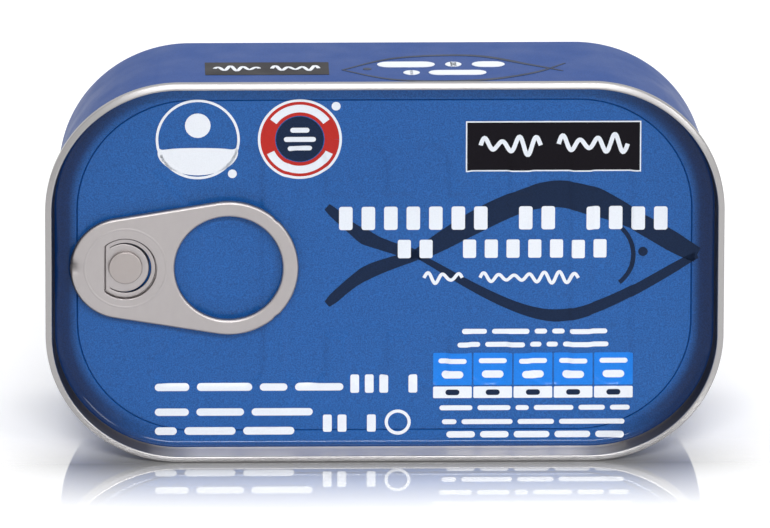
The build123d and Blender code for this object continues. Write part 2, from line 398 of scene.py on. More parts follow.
# %% The body's profile
WALL_INSET, HEEL_INSET, DEPTH, HEEL = 0.8, 2.4, 32.0, 2.5
SEAM_HEIGHT = 1.6
WALL_CORNER, HEEL_CORNER = 20.2, 20.5
BASE_INSET, BASE_SINK, BASE_SLOPE, BASE_EDGE = 8.5, 0.6, 0.6, 11.0
TURNED_INSET, TURNED_DEPTH, TURNED_TOP = 1.06, 5.28, 0.9
profile = rounded(
    [(TURNED_INSET, TURNED_DEPTH), (TURNED_INSET, TURNED_TOP), (WALL_INSET, TURNED_TOP),
     (WALL_INSET, SEAM_HEIGHT), (HEEL_INSET, DEPTH), (BASE_INSET, DEPTH),
     (BASE_INSET + BASE_SLOPE, DEPTH - BASE_SINK), (BASE_EDGE, DEPTH - BASE_SINK)],
    [0.02, 0.02, 0.02, HEEL, 0.4, 0.4], 11)
inset, depth = profile.T
down_wall = np.clip((depth - SEAM_HEIGHT) / (DEPTH - SEAM_HEIGHT), 0, 1)
wall = WALL_INSET + (HEEL_INSET - WALL_INSET) * down_wall
radius = WALL_CORNER - (WALL_CORNER - HEEL_CORNER) * down_wall - (inset - wall)
body_x, body_up = loop(COARSE, LENGTH / 2 - inset, WIDTH / 2 - inset, radius)
body_out = -np.broadcast_to(depth[:, None], body_x.shape)
print("rows of the body's wall:", len(profile))

# %% Base panel with five sunk ribs
RIB_COUNT, RIB_STEP, RIB_LONG, RIB_WIDE, RIB_SINK, RIB_EASE = 5, 13.0, 32.0, 5.0, 0.5, 1.2


def smooth(value):
    """Eases from 0 to 1: three squares less two cubes."""
    value = np.clip(value, 0, 1)
    return value * value * (3 - 2 * value)


def rib_distance(x, up, middle, long, wide):
    """Distance outside an upright slot: distance to its middle line less half its width."""
    return np.hypot(x - middle, np.maximum(np.abs(up) - (long - wide) / 2, 0)) - wide / 2


base_x, base_up = patch(COARSE, body_x[-1], body_up[-1])
middles = RIB_STEP * (np.arange(RIB_COUNT) - (RIB_COUNT - 1) / 2)
nearest = np.min([rib_distance(base_x, base_up, m, RIB_LONG, RIB_WIDE) for m in middles], axis=0)
base_out = -(DEPTH - BASE_SINK) + RIB_SINK * smooth(0.5 - nearest / RIB_EASE)

rows, columns = body_x.shape
body_points = [
    place(body_x, body_up, body_out).reshape(-1, 3),
    place(base_x, base_up, base_out).reshape(-1, 3),
]
body_faces = quads(rows, columns, ring=True).tolist()
body_faces += quads(*base_x.shape, first=rows * columns).tolist()
body_faces.append(list(range(columns)))
body = build("can_body", body_points, body_faces, wall_enamel)
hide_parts("body")

# %% [markdown]
# ## Rim
# One section runs from the skirt of the double seam over its crest and down the steep chuck
# wall to the panel. The seam is bare, bright tinplate, and the wall is a duller lacquered
# sheet. Just above the foot of the wall, the blue enamel starts. So the section is cut in
# three: the seam and the wall are pieces of their own, and the rest belongs to the panel.

# %% The section of the lid
PANEL_OUT = -4.6
THICK, WALL_FOOT, BAND_FOOT, PANEL_EDGE = 1.0, (1.4, -4.2), (4.3, PANEL_OUT), 9.0
ENAMEL_STARTS, ARC, CREST_FALL = -3.55, 17, 0.36
HIDDEN_INSET, HIDDEN_OUT = 1.12, -5.28
section = rounded(
    [(WALL_INSET, -SEAM_HEIGHT), (0, -SEAM_HEIGHT), (0, -CREST_FALL), (THICK, 0), WALL_FOOT,
     BAND_FOOT, (PANEL_EDGE, PANEL_OUT)],
    [0.25, 0.3, 0.24, 1.6, 1.5], ARC)
crest_end = 1 + 3 * ARC
cut = int(np.flatnonzero((section[:, 0] > THICK) & (section[:, 1] < ENAMEL_STARTS))[0])
joint = section[cut]
inner = section[section[:, 0] > THICK - CREST / 3]
inner = inner[np.argsort(inner[:, 0])]


def rim_ring(name, line, coating):
    """A closed section (inset, out) carried round the outline of the can."""
    line = np.concatenate([line, line[:1]])
    x, up = inset_loop(FINE, line[:, 0])
    grid = place(x, up, line[:, 1:] + 0 * x)
    faces = quads(*x.shape, ring=True).tolist()
    return build(name, [grid.reshape(-1, 3)], faces, coating)


seam_line = np.concatenate([section[:crest_end], [(WALL_INSET, section[crest_end - 1, 1])]])
wall_line = np.concatenate([section[crest_end - 1:cut + 1], [(HIDDEN_INSET, joint[1]), (0.9, -CREST)]])
rim_ring("seam", seam_line, tinplate)
rim_ring("chuck_wall", wall_line, lacquered)

# %% [markdown]
# ## Panel of the lid
# Inside the band, the panel carries a sunk comb of ribs, a finger well under the ring and the
# score line along which the lid tears. All of it is one height, worked out from distances to
# simple shapes, so the ink that is printed over it can follow the very same surface.

# %% Height of the lid
SINK, EASE = 0.35, 0.95
RIB_WIDTH, RIB_PITCH, RIB_LENGTH, RIB_FIRST, RIBS_JOINED = 6.3, 9.58, 39.4, -12.25, 5
FIELD = 11.5
WELL_LEFT, WELL_RIGHT, WELL_CORNER = -36.1, -19.1, 3.0
ISLAND, ISLAND_BEND = -27.8, 0.0335
SCORE_X, SCORE_UP, SCORE_CORNER, SCORE_WIDE, SCORE_DEEP = 48.1, 27.1, 18.0, 0.13, 0.3


def sunk(x, up):
    """Depth of the relief: 1 inside the comb or the well, 0 outside, eased over its sloping edge."""
    ribs = RIB_FIRST + RIB_PITCH * np.arange(RIBS_JOINED + 1)
    comb = np.min([rib_distance(x, up, m, RIB_LENGTH, RIB_WIDTH) for m in ribs], axis=0)
    field_half = (ribs[RIBS_JOINED - 1] - ribs[0] + RIB_WIDTH) / 2
    field_mid = (ribs[RIBS_JOINED - 1] + ribs[0]) / 2
    field = rounded_distance(x - field_mid, up, field_half, FIELD, 0.4)
    well_mid, well_half = (WELL_LEFT + WELL_RIGHT) / 2, (WELL_RIGHT - WELL_LEFT) / 2
    well = rounded_distance(x - well_mid, up, well_half, RIB_LENGTH / 2, WELL_CORNER)
    island = (x - ISLAND + ISLAND_BEND * up ** 2) / np.hypot(1, 2 * ISLAND_BEND * up)
    nearest = np.minimum(np.minimum(comb, field), np.maximum(well, -island))
    return smooth(0.5 - nearest / EASE)


def lid_out(x, up):
    """Height of the lid: its section at that distance from the outline, less the relief."""
    edge = -rounded_distance(x, up, LENGTH / 2, WIDTH / 2, CORNER)
    return np.interp(edge, inner[:, 0], inner[:, 1]) - SINK * sunk(x, up)


def groove(x, up):
    """Depth of the score line: a V along a rounded rectangle."""
    away = np.abs(rounded_distance(x, up, SCORE_X, SCORE_UP, SCORE_CORNER))
    return SCORE_DEEP * np.clip(1 - away / SCORE_WIDE, 0, 1)


# %% The enamelled lid
BAND_ENDS = 3.3
band = section[cut:]
band = band[band[:, 0] < BAND_ENDS][:, 0]
offset = SCORE_WIDE * np.array([2, 1, 0.5, 0, -0.5, -1, -2, -4])
outer = np.array([LENGTH / 2, WIDTH / 2, CORNER]) - band[:, None]
score = np.array([SCORE_X, SCORE_UP, SCORE_CORNER]) + offset[:, None]
between = np.linspace(outer[-1], score[0], 10)[1:-1]
half_x, half_up, radius = np.concatenate([outer, between, score]).T
band_x, band_up = loop(FINE, half_x, half_up, radius)
band_out = lid_out(band_x, band_up) - groove(band_x, band_up)
band_out[0] = joint[1]
under_x, under_up = inset_loop(FINE, [HIDDEN_INSET, HIDDEN_INSET])
under_out = np.broadcast_to([[HIDDEN_OUT], [joint[1]]], under_x.shape)
rows_x, rows_up, rows_out = (np.concatenate(pair) for pair in (
    (under_x, band_x), (under_up, band_up), (under_out, band_out)))

panel_x, panel_up = patch(FINE, band_x[-1], band_up[-1])
rows, columns = rows_x.shape
lid_points = [
    place(rows_x, rows_up, rows_out).reshape(-1, 3),
    place(panel_x, panel_up, lid_out(panel_x, panel_up)).reshape(-1, 3),
]
lid_faces = quads(rows, columns, ring=True).tolist()
lid_faces += quads(*panel_x.shape, first=rows * columns).tolist()
lid_faces.append(list(range(columns)))
lid = build("lid_panel", lid_points, lid_faces, blue_enamel)
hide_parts("lid")

# %% [markdown]
# ### Painted shade towards the rim
# The enamel's colour has painted shade near the wall, most of all round the two ends, where the
# recess lies in shade. A number on every vertex says how lit the enamel is there, and a colour
# ramp turns it into a shade. An attribute can follow the outline, which plain coordinates can't.

# %% Painted shade towards the rim
END_STARTS, END_RUN = 30, 18
where = np.empty(3 * len(lid.data.vertices), np.float32)
lid.data.vertices.foreach_get("co", where)
x, y, z = where.reshape(-1, 3).T / MM
up = (y - origin_y) * sin(LEAN) + (z - origin_z) * cos(LEAN)
edge = -rounded_distance(x, up, LENGTH / 2, WIDTH / 2, CORNER)
along_run = np.interp(edge, [1.3, 1.8, 2.2, 2.8], [0.1, 0.5, 0.9, 1.0])
round_end = np.interp(edge, [1.3, 1.9, 3.6, 5.2], [-0.1, -0.05, 0.05, 1.0])
at_end = smooth((np.abs(x) - END_STARTS) / END_RUN)
lit = lid.data.attributes.new("lit", "FLOAT", "POINT")
lit.data.foreach_set("value", (along_run + at_end * (round_end - along_run)).astype(np.float32))
print("how lit the print is, least and middle:", np.round([along_run.min(), np.median(along_run)], 2))
lit_value = blue_enamel.node_tree.nodes.new("ShaderNodeAttribute")
lit_value.attribute_name = "lit"
# Painted shade: the ramp darkens the enamel's colour where a vertex is little lit, near the wall and round
# the ends.
shade = shades(blue_enamel, lit_value.outputs["Fac"], (0.0, (0.14, 0.2, 0.26, 1)), (1.0, (1, 1, 1, 1)))
with_painted_shade = mixed(blue_enamel, "MULTIPLY", 1.0, base_colour(blue_enamel), shade)
wire(blue_enamel, "Base Color", with_painted_shade)

# %% [markdown]
# ## Rivet
# The rivet is raised from the lid's own sheet and its head is pressed flat, so it is turned: a
# profile of radius and height carried round an axis.

# %% Turned profile
RIVET_X, RIVET_UP = -40.55, 0.15


def turned(x, up, line, steps=96):
    """Profile of (radius, out) carried round the axis at (x, up)."""
    turn = np.linspace(0, 2 * np.pi, steps, endpoint=False)
    radius, out = (part[:, None] for part in np.array(line, float).T)
    return place(x + radius * np.cos(turn), up + radius * np.sin(turn), out + 0 * turn)


head = rounded(
    [(0.0, PANEL_OUT - 0.3), (3.9, PANEL_OUT - 0.3), (3.6, PANEL_OUT + 0.36), (1.6, PANEL_OUT + 0.44),
     (1.6, PANEL_OUT + 0.96), (2.62, PANEL_OUT + 0.93), (2.62, PANEL_OUT + 1.6), (0.0, PANEL_OUT + 1.68)],
    [0.02, 0.25, 0.02, 0.02, 0.02, 0.18], 9)
rivet_grid = turned(RIVET_X, RIVET_UP, head)
rivet_faces = quads(*rivet_grid.shape[:2], ring=True).tolist()
build("rivet", [rivet_grid.reshape(-1, 3)], rivet_faces, rivet_metal)

# %% [markdown]
# ## Ring pull
# The tab is stamped from sheet whose edges are curled under, so every edge is a round bead.
# Each bead is a section carried along its edge: the outside, the finger hole, and the window
# round the tongue. The flat web between the beads is filled with triangles.

# %% The three edges of the tab
NOSE_X, NOSE_R, RING_X, RING_R, HOLE_R = -41.0, 8.25, -24.4, 10.95, 8.45
TAB_TOP, TAB_UNDER = -2.95, -4.15
BEAD = 1.05
WINDOW_X, WINDOW_R, WINDOW_FLAT = -40.6, 4.95, -43.85


def hull(inset, arc=90, run=24):
    """Hull of two circles: one disc slides and grows from the ring to the nose and back."""
    lean = np.arccos((NOSE_R - RING_R) / (RING_X - NOSE_X))
    turn = np.concatenate([
        np.linspace(-lean, lean, arc), np.full(run, lean),
        np.linspace(lean, 2 * np.pi - lean, arc), np.full(run, 2 * np.pi - lean)])
    ramp = np.linspace(0, 1, run + 2)[1:-1]
    slide = np.concatenate([np.zeros(arc), ramp, np.ones(arc), 1 - ramp])
    nick = 0.18 * sum(np.exp(-((turn - side * radians(47)) / radians(1.6)) ** 2) for side in (-1, 1))
    radius = RING_R + slide * (NOSE_R - RING_R) - nick * (slide == 0) - np.asarray(inset)[:, None]
    return RING_X + slide * (NOSE_X - RING_X) + radius * np.cos(turn), radius * np.sin(turn)


def finger_hole(inset, arc=128):
    """Circle of the finger hole, grown by the inset into the metal."""
    turn = np.linspace(0, -2 * np.pi, arc, endpoint=False)
    radius = HOLE_R + np.asarray(inset)[:, None]
    return RING_X + radius * np.cos(turn), radius * np.sin(turn)


def cut_disc(x, radius, flat, corner, arc=64, run=20):
    """A disc cut straight at its left: a small disc is carried round inside it, so corners are round."""
    reach = radius - corner
    edge = flat + corner - x
    open_turn = np.arccos(np.clip(edge / reach, -1, 1))
    main = np.linspace(-open_turn, open_turn, arc)
    small = np.linspace(open_turn, np.pi, run)
    height = reach * np.sin(open_turn)
    line = np.linspace(height, -height, run)[1:-1]
    px = np.concatenate([
        radius * np.cos(main), edge + corner * np.cos(small), np.full(run - 2, edge - corner),
        edge + corner * np.cos(-small[::-1])])
    pu = np.concatenate([
        radius * np.sin(main), height + corner * np.sin(small), line,
        -height + corner * np.sin(-small[::-1])])
    return x + px, pu


def window(inset):
    """Edge of the tongue's window, grown by the inset into the metal."""
    loops = [
        cut_disc(WINDOW_X, WINDOW_R + grow, WINDOW_FLAT - grow, 0.7 + max(grow, -0.5)) for grow in inset]
    x, up = zip(*loops)
    return np.array(x), np.array(up)


# %% Beads round the edges
def bead_section(top_round, under_round):
    """Section of an edge, from the web's underside round to its top: (inset, out)."""
    corners = [(BEAD, TAB_UNDER), (0.0, TAB_UNDER), (0.0, TAB_TOP), (BEAD, TAB_TOP)]
    return rounded(corners, [under_round, top_round], 10)


LEDGE, LEDGE_OUT = 0.85, -3.66
ledge_section = rounded(
    [(BEAD, TAB_UNDER), (-LEDGE, TAB_UNDER + 0.02), (-LEDGE, LEDGE_OUT), (-0.24, LEDGE_OUT + 0.08),
     (-0.14, TAB_UNDER + 0.16), (0.0, TAB_UNDER + 0.16), (0.0, TAB_TOP), (BEAD, TAB_TOP)],
    [0.05, 0.05, 0.04, 0.04, 0.04, 0.14], 6)


def dimple(x, up):
    """The point of the nose is pressed down where it pushes on the score line."""
    return -0.75 * np.exp(-((x - NOSE_X + NOSE_R) / 1.2) ** 2 - ((up - 0.4) / 1.1) ** 2)


def top_out(x, up, out):
    """Adds the dimple to what lies near the top of the tab."""
    return out + dimple(x, up) * smooth((out - TAB_UNDER) / (TAB_TOP - TAB_UNDER))


tab_points, tab_faces, rims_top, rims_under, start = [], [], [], [], 0
for edge, line in (
        (hull, bead_section(0.5, 0.45)),
        (finger_hole, bead_section(0.5, 0.45)),
        (window, ledge_section)):
    x, up = edge(line[:, 0])
    grid = place(x, up, top_out(x, up, line[:, 1:] + 0 * x))
    tab_points.append(grid.reshape(-1, 3))
    tab_faces += quads(*x.shape, ring=True, first=start).tolist()
    rims_under.append((x[0], up[0]))
    rims_top.append((x[-1], up[-1]))
    start += x.size
print("points on the tab's beads:", start)


# %% The web between the beads
def inside(points, ring):
    """Even-odd rule: a point is inside if a ray to the right crosses the ring an odd number of times."""
    x, up = points[:, 0, None], points[:, 1, None]
    after = np.roll(ring, -1, axis=0)
    spans = (ring[:, 1] > up) != (after[:, 1] > up)
    rise = np.where(after[:, 1] == ring[:, 1], 1e-9, after[:, 1] - ring[:, 1])
    crossing = ring[:, 0] + (up - ring[:, 1]) / rise * (after[:, 0] - ring[:, 0])
    return (spans & (x < crossing)).sum(1) % 2 == 1


def in_web(points, rings):
    """Inside the outer rim, and outside the rims of the finger hole and of the window."""
    return inside(points, rings[0]) & ~inside(points, rings[1]) & ~inside(points, rings[2])


def web(rims, step=0.8):
    """Flat net between the beads' inner rims and over a grid of points inside, joined by triangles."""
    rings = [np.stack(rim, -1) for rim in rims]
    rim_points = np.concatenate(rings)
    grid = np.stack(np.meshgrid(np.arange(-50, -12, step), np.arange(-12, 12, step)), -1).reshape(-1, 2)
    room = np.min(np.hypot(*(grid[:, None] - rim_points[None]).transpose(2, 0, 1)), axis=1)
    grid = grid[in_web(grid, rings) & (room > 0.5 * step)]
    edges, first = [], 0
    for ring in rings:
        number = first + np.arange(len(ring))
        edges += np.stack([number, np.roll(number, -1)], -1).tolist()
        first += len(ring)
    flat = [Vector(point) for point in np.concatenate([rim_points, grid]).tolist()]
    points, _, faces, *_ = delaunay_2d_cdt(flat, edges, [], 0, 1e-6)
    points = np.array([tuple(point) for point in points])
    middle = np.array([points[list(face)].mean(0) for face in faces])
    return points, [face for face, kept in zip(faces, in_web(middle, rings)) if kept]


for rims, out in ((rims_under, TAB_UNDER), (rims_top, TAB_TOP)):
    flat, triangles = web(rims)
    flat_x, flat_up = flat.T
    tab_points.append(place(flat_x, flat_up, top_out(flat_x, flat_up, np.full(len(flat), out))))
    tab_faces += [[number + start for number in face] for face in triangles]
    start += len(flat)
rivet_axis = Vector(place(RIVET_X, RIVET_UP, TAB_TOP).tolist()) * MM
bumps(aluminium, ridge(aluminium, rivet_axis, 6.4 * MM, 0.45 * MM), 0.00005)
tab = build("ring_pull", tab_points, tab_faces, aluminium)
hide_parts("tab")

# %% [markdown]
# ## Tongue
# The tongue is the part of the tab that the rivet holds. It lies lower than the web and is cut
# straight on one side, where the real tongue hangs and bends when the ring is lifted.

# %% The tongue, cut straight on one side
TONGUE_X, TONGUE_R, TONGUE_FLAT, TONGUE_TOP, TONGUE_SHEET = -40.82, 3.93, -43.7, -3.64, 0.45
TONGUE_UNDER, TONGUE_CORNER, TONGUE_EDGE = TONGUE_TOP - TONGUE_SHEET, 0.6, 0.3
tongue_line = rounded(
    [(TONGUE_R, TONGUE_UNDER), (0.0, TONGUE_UNDER), (0.0, TONGUE_TOP), (TONGUE_R, TONGUE_TOP)],
    [0.12, 0.14], 6)
loops = [
    cut_disc(TONGUE_X, TONGUE_R - inset, TONGUE_FLAT + inset, TONGUE_CORNER)
    for inset in np.minimum(tongue_line[:, 0], TONGUE_EDGE)]
tongue_x, tongue_up = (np.array(part) for part in zip(*loops))
tongue_grid = place(tongue_x, tongue_up, tongue_line[:, 1:] + 0 * tongue_x)
rows, columns = tongue_x.shape
tongue_faces = quads(rows, columns, ring=True).tolist()
tongue_faces += [list(range(columns)), list(range((rows - 1) * columns, rows * columns))]
build("tongue", [tongue_grid.reshape(-1, 3)], tongue_faces, aluminium)

# %% [markdown]
# ## Ink
# The print is ink on the enamel. Each mark is a ribbon: a centreline with a half width at each
# point, laid on the surface below and closed to a very thin skin. Straight ribbons give bars
# and panels, round ones give rings, and brushed ones give the fish. Where the real can has
# words, there are plain bars and waves instead.

# %% Ribbons, and the skins laid on the can
CELL, SKIN, BITE = 0.3, 0.05, 0.03


def ribbon(x, up, half, cell=CELL):
    """Points beside a centreline: its point plus its normal times the half width times -1 to 1."""
    x, up, half = np.broadcast_arrays(np.asarray(x, float), np.asarray(up, float), np.asarray(half, float))
    ahead = np.stack([np.gradient(x), np.gradient(up)])
    side = np.stack([-ahead[1], ahead[0]]) / np.hypot(*ahead)
    across = np.linspace(-1, 1, max(2, int(np.ceil(2 * half.max() / cell)) + 1))[:, None]
    return x + across * half * side[0], up + across * half * side[1]


def on_lid(x, up, lift):
    """On the enamel of the lid."""
    return place(x, up, lid_out(x, up) + lift)


def on_top_wall(x, deep, lift):
    """On the long side wall that faces up: x along the can, deep from the crest of the seam."""
    inward = WALL_INSET + (HEEL_INSET - WALL_INSET) * (deep - SEAM_HEIGHT) / (DEPTH - SEAM_HEIGHT)
    return place(x, WIDTH / 2 - inward + lift, -deep)


def skins(marks, lay=on_lid):
    """Closed skins: each grid once above the surface and once just below it, sewn round the edge."""
    points, faces, start = [], [], 0
    for x, up in marks:
        rows, columns = x.shape
        number = np.arange(rows * columns).reshape(rows, columns)
        rim = np.concatenate([number[0, :-1], number[:-1, -1], number[-1, :0:-1], number[:0:-1, 0]])
        below = number.size
        around = np.stack([rim, np.roll(rim, -1), np.roll(rim, -1) + below, rim + below], -1)
        top = quads(rows, columns)
        group = np.concatenate([top, top[:, ::-1] + below, around])
        faces += (group + start).tolist()
        points += [lay(x, up, SKIN).reshape(-1, 3), lay(x, up, -BITE).reshape(-1, 3)]
        start += 2 * below
    return points, faces


# %% [markdown]
# ### Marks
# A bar is a ribbon whose half width falls off round its ends, a disc is a ribbon as wide as
# its chord, and a ring is a ribbon on a circle. A brush stroke runs along a smooth curve
# through a few points and swells in its middle, with an uneven edge.

# %% Bars, discs, rings and strokes
ink_random = np.random.default_rng(7)


def eased(count):
    """Numbers from -1 to 1 that crowd towards both ends, as a cosine does."""
    return -np.cos(np.linspace(0, np.pi, count))


def bar(left, right, low, high, corner=None):
    """A rounded rectangle, as a ribbon along x."""
    half, middle = (high - low) / 2, (high + low) / 2
    corner = half if corner is None else corner
    ends = corner * (1 + eased(9))
    run = np.arange(left + corner, right - corner, CELL)[1:]
    x = np.concatenate([left + ends[:5], run, right - ends[4::-1]])
    past = np.maximum(np.maximum(left + corner - x, x - right + corner), 0)
    width = half - corner + np.sqrt(np.maximum(corner ** 2 - past ** 2, (0.06 * corner) ** 2))
    return ribbon(x, middle, width)


def disc(x, up, radius):
    """A disc, as a ribbon as wide as its chord."""
    along = eased(max(13, int(2 * radius / CELL)))
    return ribbon(x + radius * along, up, radius * np.sqrt(np.maximum(1 - along ** 2, 0.0009)))


def ring(x, up, radius, half, start=0.0, end=360.0):
    """A ring or an arc of it, in degrees, as a ribbon on a circle."""
    turn = np.radians(np.linspace(start, end, max(12, int(radius * radians(end - start) / CELL))))
    return ribbon(x + radius * np.cos(turn), up + radius * np.sin(turn), half)


def through(points, count):
    """A smooth curve through points: a Catmull-Rom spline, cubics whose slopes come from the neighbours."""
    knots = np.array([points[0], *points, points[-1]], float)
    spot = np.linspace(0, len(points) - 1, count)
    first = np.minimum(spot.astype(int), len(points) - 2)
    t = (spot - first)[:, None]
    a, b, c, d = (knots[first + step] for step in range(4))
    squared, cubed = 2 * a - 5 * b + 4 * c - d, 3 * b - a - 3 * c + d
    return 0.5 * (2 * b + (c - a) * t + squared * t ** 2 + cubed * t ** 3)


def stroke(points, half, rough=0.12, swell=(0.15, 1.0, 0.1)):
    """A brush stroke: its width goes through three shares of the half width, its edge wanders a little."""
    reach = np.hypot(*np.diff(np.array(points, float), axis=0).T).sum()
    line = through(points, max(8, int(reach / CELL)))
    along = np.linspace(0, 1, len(line))
    width = np.interp(along, [0, 0.5, 1], swell) ** 0.6 * half
    wander = np.interp(along, np.linspace(0, 1, 9), ink_random.uniform(-1, 1, 9))
    return ribbon(*line.T, width * (1 + rough * wander) + 0.03)


def squiggle(left, right, middle, height, half, waves):
    """A handwritten line that says nothing: a sine with a slow swell."""
    along = np.linspace(0, 1, int((right - left) / 0.12))
    swell = 0.7 + 0.3 * np.sin(along * 7 + left)
    phase = 2 * np.pi * waves * along
    return ribbon(left + (right - left) * along, middle + height * swell * np.sin(phase), half, 0.2)


def words(left, right, low, high, shares, gap):
    """A line of words: bars with the given shares of the length, with gaps between them."""
    room = right - left - gap * (len(shares) - 1)
    marks, x = [], left
    for length in shares:
        width = room * length / sum(shares)
        marks.append(bar(x, x + width, low, high))
        x += width + gap
    return marks


def blocks(left, right, low, high, letters):
    """A line of words with the given numbers of letters, each an upright block."""
    pitch = (right - left) / (sum(letters) + len(letters) - 1 - 0.4)
    places = np.concatenate([
        np.arange(count) + sum(letters[:word]) + word for word, count in enumerate(letters)])
    return [bar(left + pitch * n, left + pitch * (n + 0.6), low, high, 0.1 * (high - low)) for n in places]


# %% Inks
INK_FINISH = {
    "white": enamel("white_print", linear(236, 240, 247), 0.02),
    "black": enamel("black_print", linear(19, 16, 22), 0.1, coat=0.04, shine=0.05),
    "navy": enamel("navy_print", linear(21, 38, 66), 0.14, coat=0.06, shine=0.08),
    "azure": enamel("azure_print", linear(26, 127, 228), 0.04),
    "red": enamel("red_print", linear(188, 40, 33), 0.04),
}
PRINT = {ink: [] for ink in INK_FINISH}


def printed(ink, layer, *marks, lay=on_lid):
    """Notes marks of an ink. A higher layer is lifted by more skins, so no two inks share a surface."""
    PRINT[ink].append((marks, lambda x, up, lift: lay(x, up, lift + layer * SKIN)))


# %% [markdown]
# ### What is printed
# The print has two lines of large letters, small notes, two round badges, a black label, a
# table and a fish. None of it says anything: letters are blocks, notes are bars, and
# handwriting is a wave. The fish is a plain one, two arcs crossing at the tail, on round numbers.

# %% Words
printed(
    "white", 1,
    *blocks(-7.1, 44.3, 5.7, 9.5, (7, 2, 4)),
    *blocks(2.1, 34.8, 1.05, 4.05, (2, 7)),
    squiggle(6.2, 12.2, -2.2, 0.95, 0.26, 2.5), squiggle(15.0, 30.4, -2.2, 0.95, 0.26, 6.5),
    *words(12.2, 35.0, -11.45, -10.65, (4, 6, 2, 2, 6), 0.8),
    *words(11.5, 35.2, -13.6, -12.8, (4, 7, 2, 2, 8), 0.8),
    *words(8.7, 38.6, -23.95, -23.15, (5, 5, 2, 6, 4, 3), 0.8),
    *words(9.1, 37.8, -26.25, -25.45, (2, 7, 5, 9), 0.8),
    *words(9.8, 37.7, -28.4, -27.4, (4, 4, 5, 5, 4), 0.8),
    *words(-36.0, -6.4, -20.6, -19.4, (5, 8, 4, 7), 1.2),
    *words(-36.0, -11.2, -24.7, -23.5, (5, 7, 9), 1.2),
    *words(-36.0, -14.1, -27.8, -26.6, (3, 7, 7), 1.2),
    *blocks(-5.3, 5.2, -21.0, -18.1, (3, 1)),
    *blocks(-9.6, -1.3, -27.4, -24.6, (2, 1)),
    ring(2.15, -25.85, 1.8, 0.25), disc(-23.8, 15.0, 0.7), disc(-7.6, 26.1, 0.7))

# %% Badges
BADGE_UP, BADGE_R = 20.7, 6.57
left_x, right_x = -29.2, -13.25
along = eased(41)
bowl = np.sqrt(1 - along ** 2)
hollow = ribbon(left_x + 6.0 * along, BADGE_UP - 1.5 - 2.2 * bowl, 0.03 + 2.2 * bowl)
printed("white", 1, ring(left_x, BADGE_UP, BADGE_R - 0.2, 0.2), disc(left_x, BADGE_UP + 2.3, 2.0), hollow)
printed("red", 0, ring(right_x, BADGE_UP, 5.05, 1.18))
printed("navy", 0, disc(right_x, BADGE_UP, 3.72))
printed(
    "white", 1, ring(right_x, BADGE_UP, BADGE_R - 0.2, 0.2),
    ring(right_x, BADGE_UP, 5.05, 0.62, 35, 145), ring(right_x, BADGE_UP, 5.05, 0.62, 205, 335),
    *(bar(right_x - half, right_x + half, BADGE_UP + step - 0.4, BADGE_UP + step + 0.4)
      for step, half in ((1.5, 1.5), (0.0, 2.5), (-1.5, 1.9))))

# %% Label
left, right, low, high = 12.9, 39.9, 15.45, 23.35
printed("black", 0, bar(left, right, low, high, 0.15))
printed(
    "white", 1, bar(left, right, high, high + 0.2, 0.05), bar(left, right, low - 0.2, low, 0.05),
    bar(left - 0.2, left, low - 0.2, high + 0.2, 0.05),
    bar(right, right + 0.2, low - 0.2, high + 0.2, 0.05),
    squiggle(15.0, 24.4, 19.6, 1.6, 0.34, 3.5), squiggle(27.2, 38.0, 19.8, 1.6, 0.34, 4.0))

# %% Table
CELLS, GUTTER = 5, 0.25
edges = np.linspace(7.7, 39.3, CELLS + 1)
for left, right in zip(edges[:-1], edges[1:] - GUTTER):
    middle = (left + right) / 2
    printed("azure", 0, bar(left, right, -19.8, -14.6, 0.2))
    printed("white", 0, bar(left, right, -21.95, -20.05, 0.2))
    printed(
        "white", 1, bar(middle - 2.2, middle + 2.2, -16.3, -15.5),
        bar(middle - 1.7, middle + 1.7, -18.7, -17.5))
    printed("navy", 1, bar(middle - 1.1, middle + 1.1, -21.45, -20.55))

# %% Fish
NOSE, TAIL, FORK, LEVEL = 49.0, 5.0, -9.0, 1.5
GIRTH, FIN, TAIL_BEND = 10.0, 8.0, (6.0, 3.0)
TAIL_SWELL, BODY_SWELL, ROUGH = (0.4, 1.0, 0.3), (0.2, 1.0, 0.3), 0.15
MIDDLE = (NOSE + TAIL) / 2


def tail_stroke(side):
    """Half of the tail, above (1) or below (-1): from the end of the body to a tip of the fork."""
    bend = (FORK + TAIL_BEND[0], LEVEL + side * TAIL_BEND[1])
    return stroke([(TAIL, LEVEL), bend, (FORK, LEVEL + side * FIN)], 1.2, ROUGH, TAIL_SWELL)


def body_stroke(side, half):
    """Back (1) or belly (-1): an arc from the tail to the nose."""
    arc = [(TAIL, LEVEL), (MIDDLE, LEVEL + side * GIRTH), (NOSE, LEVEL)]
    return stroke(arc, half, ROUGH, BODY_SWELL)


FISH = [
    body_stroke(1, 2.3), body_stroke(-1, 1.0), tail_stroke(1), tail_stroke(-1),
    ring(NOSE - 16.0, LEVEL, 6.0, 0.35, -50, 50), disc(NOSE - 8.5, LEVEL + 0.6, 0.75),
]
printed("navy", -0.4, *FISH)
print("marks of the fish:", len(FISH))

# %% Print on the wall that faces up
printed("black", 0, bar(-28.0, -8.6, 9.0, 17.0, 0.15), lay=on_top_wall)
printed(
    "white", 1, squiggle(-26.5, -19.5, 13.0, 1.6, 0.3, 3.5), squiggle(-17.5, -10.2, 13.0, 1.6, 0.3, 3.5),
    *words(-1.0, 19.0, 13.5, 17.0, (7, 2, 4), 1.6), *words(3.0, 16.0, 8.5, 11.5, (2, 7), 1.4),
    lay=on_top_wall)
printed(
    "navy", 0, stroke([(-6.5, 12.0), (2.0, 19.5), (14.0, 21.0), (23.0, 15.0), (28.0, 11.0)], 0.5),
    stroke([(-6.5, 12.0), (2.0, 5.5), (14.0, 5.0), (23.0, 9.5), (28.5, 16.0)], 0.5), disc(-2.6, 12.6, 0.7),
    lay=on_top_wall)

